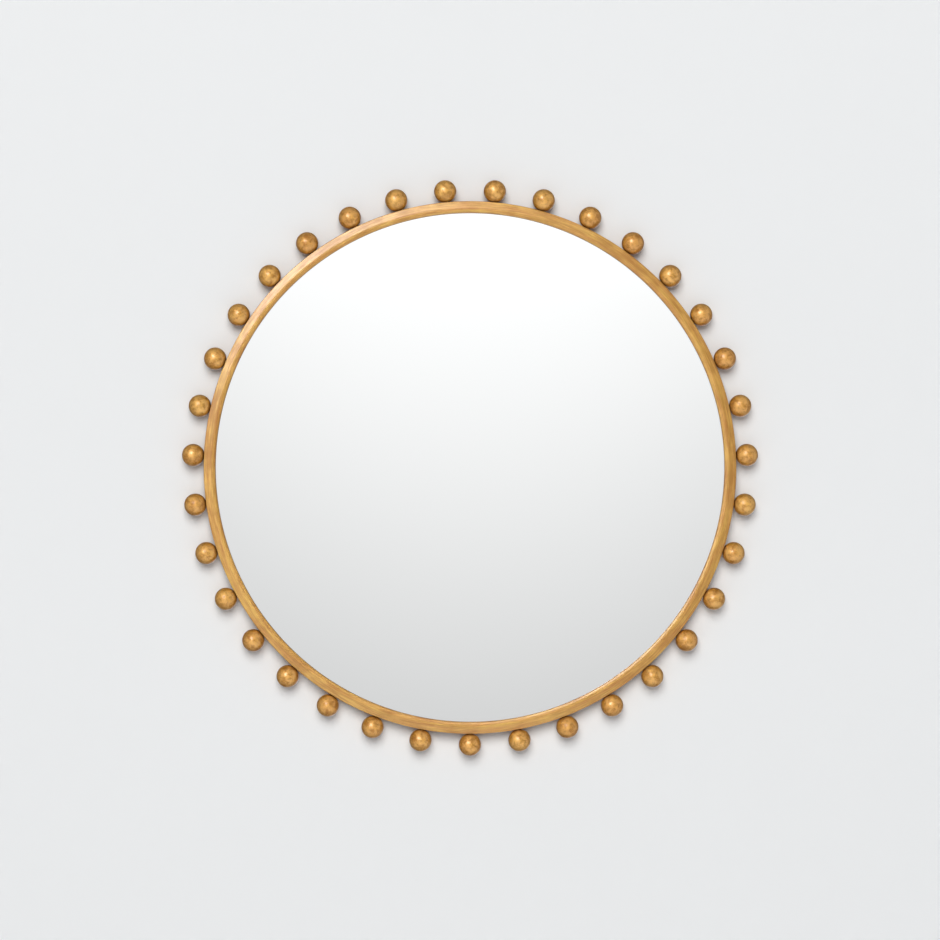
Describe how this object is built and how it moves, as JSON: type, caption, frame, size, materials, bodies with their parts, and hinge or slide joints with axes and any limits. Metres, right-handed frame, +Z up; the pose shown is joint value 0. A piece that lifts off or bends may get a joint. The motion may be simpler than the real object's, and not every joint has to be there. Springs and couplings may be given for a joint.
{
  "type": "wall mirror",
  "caption": "Flat round wall mirror in a slim antique gold frame edged all round with small balls, hung from two swinging D-rings on its back.",
  "frame": {"origin": "centre of the round frame on the wall's plane, which is the plane of the hoop's rear edge", "axes": "+Y into the wall, +Z up as the mirror hangs, +X to the right as seen from the room"},
  "size_m": [0.8888, 0.0347, 0.8879],
  "materials": {
    "gilded_steel": "antique gold leaf, rubbed and brushed round the frame",
    "gilded_wood": "turned hardwood, antique gold leaf over a brown ground",
    "weld_metal": "weld bead under the frame's brown ground coat",
    "silvered_glass": "clear, silvered behind",
    "gasket_foam": "matte",
    "tape_foam": "matte foam",
    "fibreboard": "raw fibreboard",
    "zinc_strap": "zinc plated",
    "zinc_wire": "zinc plated wire",
    "zinc_screw": "zinc plated"
  },
  "bodies": {
    "mirror": {"face_ring": "gilded_steel", "rim_hoop": "gilded_steel", "corner_welds": "weld_metal", "ball_01": "gilded_wood", "ball_02": "gilded_wood", "ball_03": "gilded_wood", "ball_04": "gilded_wood", "ball_05": "gilded_wood", "ball_06": "gilded_wood", "ball_07": "gilded_wood", "ball_08": "gilded_wood", "ball_09": "gilded_wood", "ball_10": "gilded_wood", "ball_11": "gilded_wood", "ball_12": "gilded_wood", "ball_13": "gilded_wood", "ball_14": "gilded_wood", "ball_15": "gilded_wood", "ball_16": "gilded_wood", "ball_17": "gilded_wood", "ball_18": "gilded_wood", "ball_19": "gilded_wood", "ball_20": "gilded_wood", "ball_21": "gilded_wood", "ball_22": "gilded_wood", "ball_23": "gilded_wood", "ball_24": "gilded_wood", "ball_25": "gilded_wood", "ball_26": "gilded_wood", "ball_27": "gilded_wood", "ball_28": "gilded_wood", "ball_29": "gilded_wood", "ball_30": "gilded_wood", "ball_31": "gilded_wood", "ball_32": "gilded_wood", "ball_33": "gilded_wood", "ball_34": "gilded_wood", "ball_35": "gilded_wood", "ball_screws": "zinc_screw", "glazing_gasket": "gasket_foam", "mirror_glass": "silvered_glass", "mounting_tape": "tape_foam", "backing_board": "fibreboard", "board_clip_1": "zinc_strap", "board_clip_2": "zinc_strap", "board_clip_3": "zinc_strap", "board_clip_4": "zinc_strap", "board_clip_5": "zinc_strap", "board_clip_6": "zinc_strap", "board_clip_7": "zinc_strap", "clip_screws": "zinc_screw", "hanger_strap_left": "zinc_strap", "hanger_strap_right": "zinc_strap", "hanger_screws": "zinc_screw"},
    "left_ring": {"d_ring_left": "zinc_wire"},
    "right_ring": {"d_ring_right": "zinc_wire"}
  },
  "joints": [
    {"name": "left_ring_swing", "type": "hinge", "parent": "mirror", "child": "left_ring", "pos_m": [-0.23, -0.0062, 0.19], "axis": [-1, 0, 0], "range_deg": [0, 178]},
    {"name": "right_ring_swing", "type": "hinge", "parent": "mirror", "child": "right_ring", "pos_m": [0.23, -0.0062, 0.19], "axis": [-1, 0, 0], "range_deg": [0, 178]}
  ]
}
